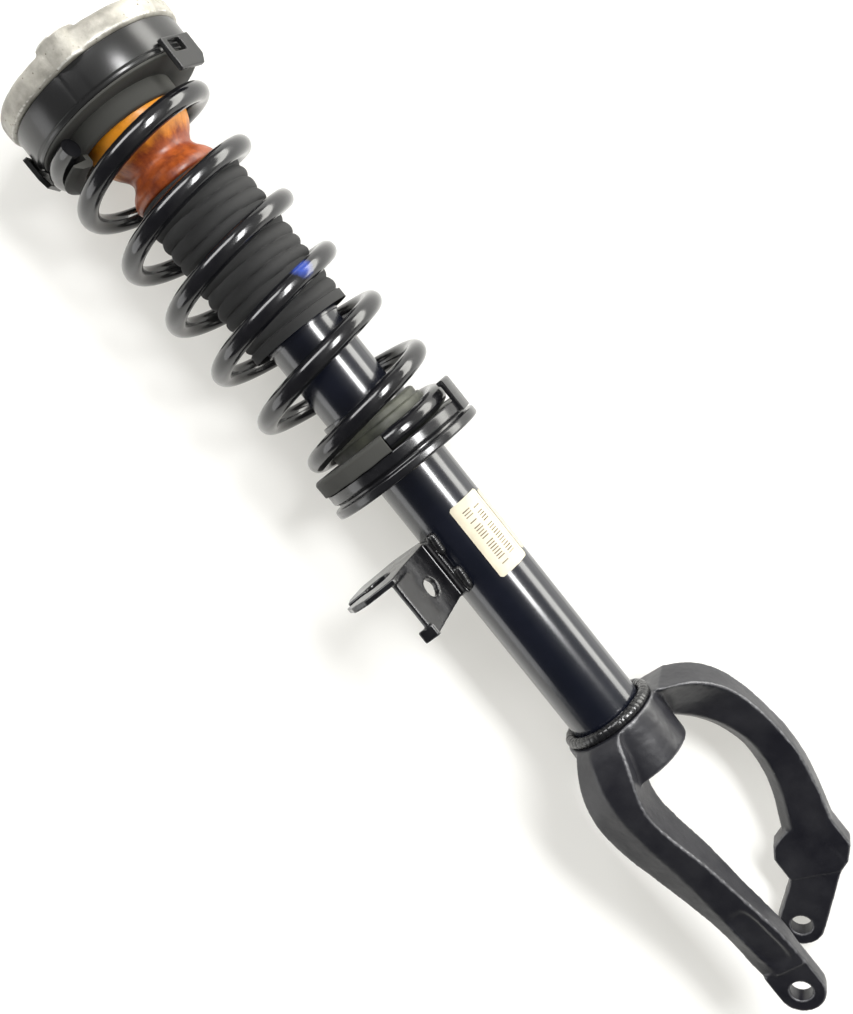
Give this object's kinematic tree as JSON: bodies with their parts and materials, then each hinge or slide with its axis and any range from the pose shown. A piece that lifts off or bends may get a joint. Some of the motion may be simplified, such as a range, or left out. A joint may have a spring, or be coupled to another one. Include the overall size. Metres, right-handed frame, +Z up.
{
  "type": "suspension strut assembly",
  "caption": "Coil-over suspension strut: forked lower end, damper tube with link bracket, coil spring on rubber seats, boot, bump stop and cast top mount.",
  "frame": {"origin": "where the lower bolt axis crosses the damper axis", "axes": "+Z up the damper axis towards the top mount, +Y along the lower bolt towards the ear of the curved arm"},
  "size_m": [0.1468, 0.1394, 0.7615],
  "materials": {
    "forged_fork": "satin cast",
    "painted_tube": "gloss black paint",
    "painted_sheet": "semi gloss black paint",
    "coated_spring": "gloss powder coat",
    "seat_rubber": "matt",
    "boot_rubber": "matt",
    "bump_foam": "satin amber",
    "cast_aluminium": "rough cast",
    "seat_plastic": "gloss black",
    "bright_steel": "machined",
    "chromed_rod": "hard chrome",
    "sintered_steel": "sintered",
    "ptfe_band": "bronze filled",
    "label_paper": "satin film"
  },
  "bodies": {
    "damper_body": {"lower_fork": "forged_fork", "fork_weld": "painted_sheet", "damper_tube": "painted_tube", "tube_end_plug": "bright_steel", "gas_fill_screw": "bright_steel", "rod_guide": "sintered_steel", "rod_guide_bush": "ptfe_band", "rod_guide_seal_ring": "seat_rubber", "rod_seal": "seat_rubber", "seal_retainer": "bright_steel", "tube_cap": "painted_sheet", "lower_spring_seat": "painted_sheet", "seat_sleeve": "painted_tube", "seat_weld": "painted_sheet", "lower_spring_pad": "seat_rubber", "main_spring": "coated_spring", "link_bracket": "painted_sheet", "bracket_welds": "painted_sheet", "label": "label_paper", "label_strip": "label_paper"},
    "floating_piston": {"floating_piston": "cast_aluminium", "floating_piston_seal": "seat_rubber"},
    "rod_and_mount": {"piston_rod": "chromed_rod", "piston": "sintered_steel", "piston_band": "ptfe_band", "rebound_shims": "bright_steel", "compression_shims": "bright_steel", "piston_nut": "bright_steel", "rebound_stop": "seat_rubber", "bump_stop": "bump_foam", "boot_ring": "seat_plastic", "dust_boot": "boot_rubber", "mount_housing": "cast_aluminium", "thread_inserts": "bright_steel", "mount_bush": "seat_rubber", "lower_washer": "bright_steel", "bush_sleeve": "bright_steel", "upper_washer": "bright_steel", "rod_nut": "bright_steel", "upper_spring_seat": "seat_plastic", "upper_spring_pad": "seat_rubber", "seat_clips": "seat_plastic"}
  },
  "joints": [
    {"name": "rod_slide", "type": "slide", "parent": "damper_body", "child": "rod_and_mount", "axis": [0, 0, 1], "range_m": [-0.09, 0], "stiffness_N_per_m": 45000, "springref_m": 0.03, "deforming": ["main_spring", "dust_boot"]},
    {"name": "floating_piston_slide", "type": "slide", "parent": "damper_body", "child": "floating_piston", "axis": [0, 0, 1], "range_m": [-0.009, 0.001]}
  ],
  "couplings": [
    {"joint": "floating_piston_slide", "follows": "rod_slide", "ratio": 0.09679}
  ]
}
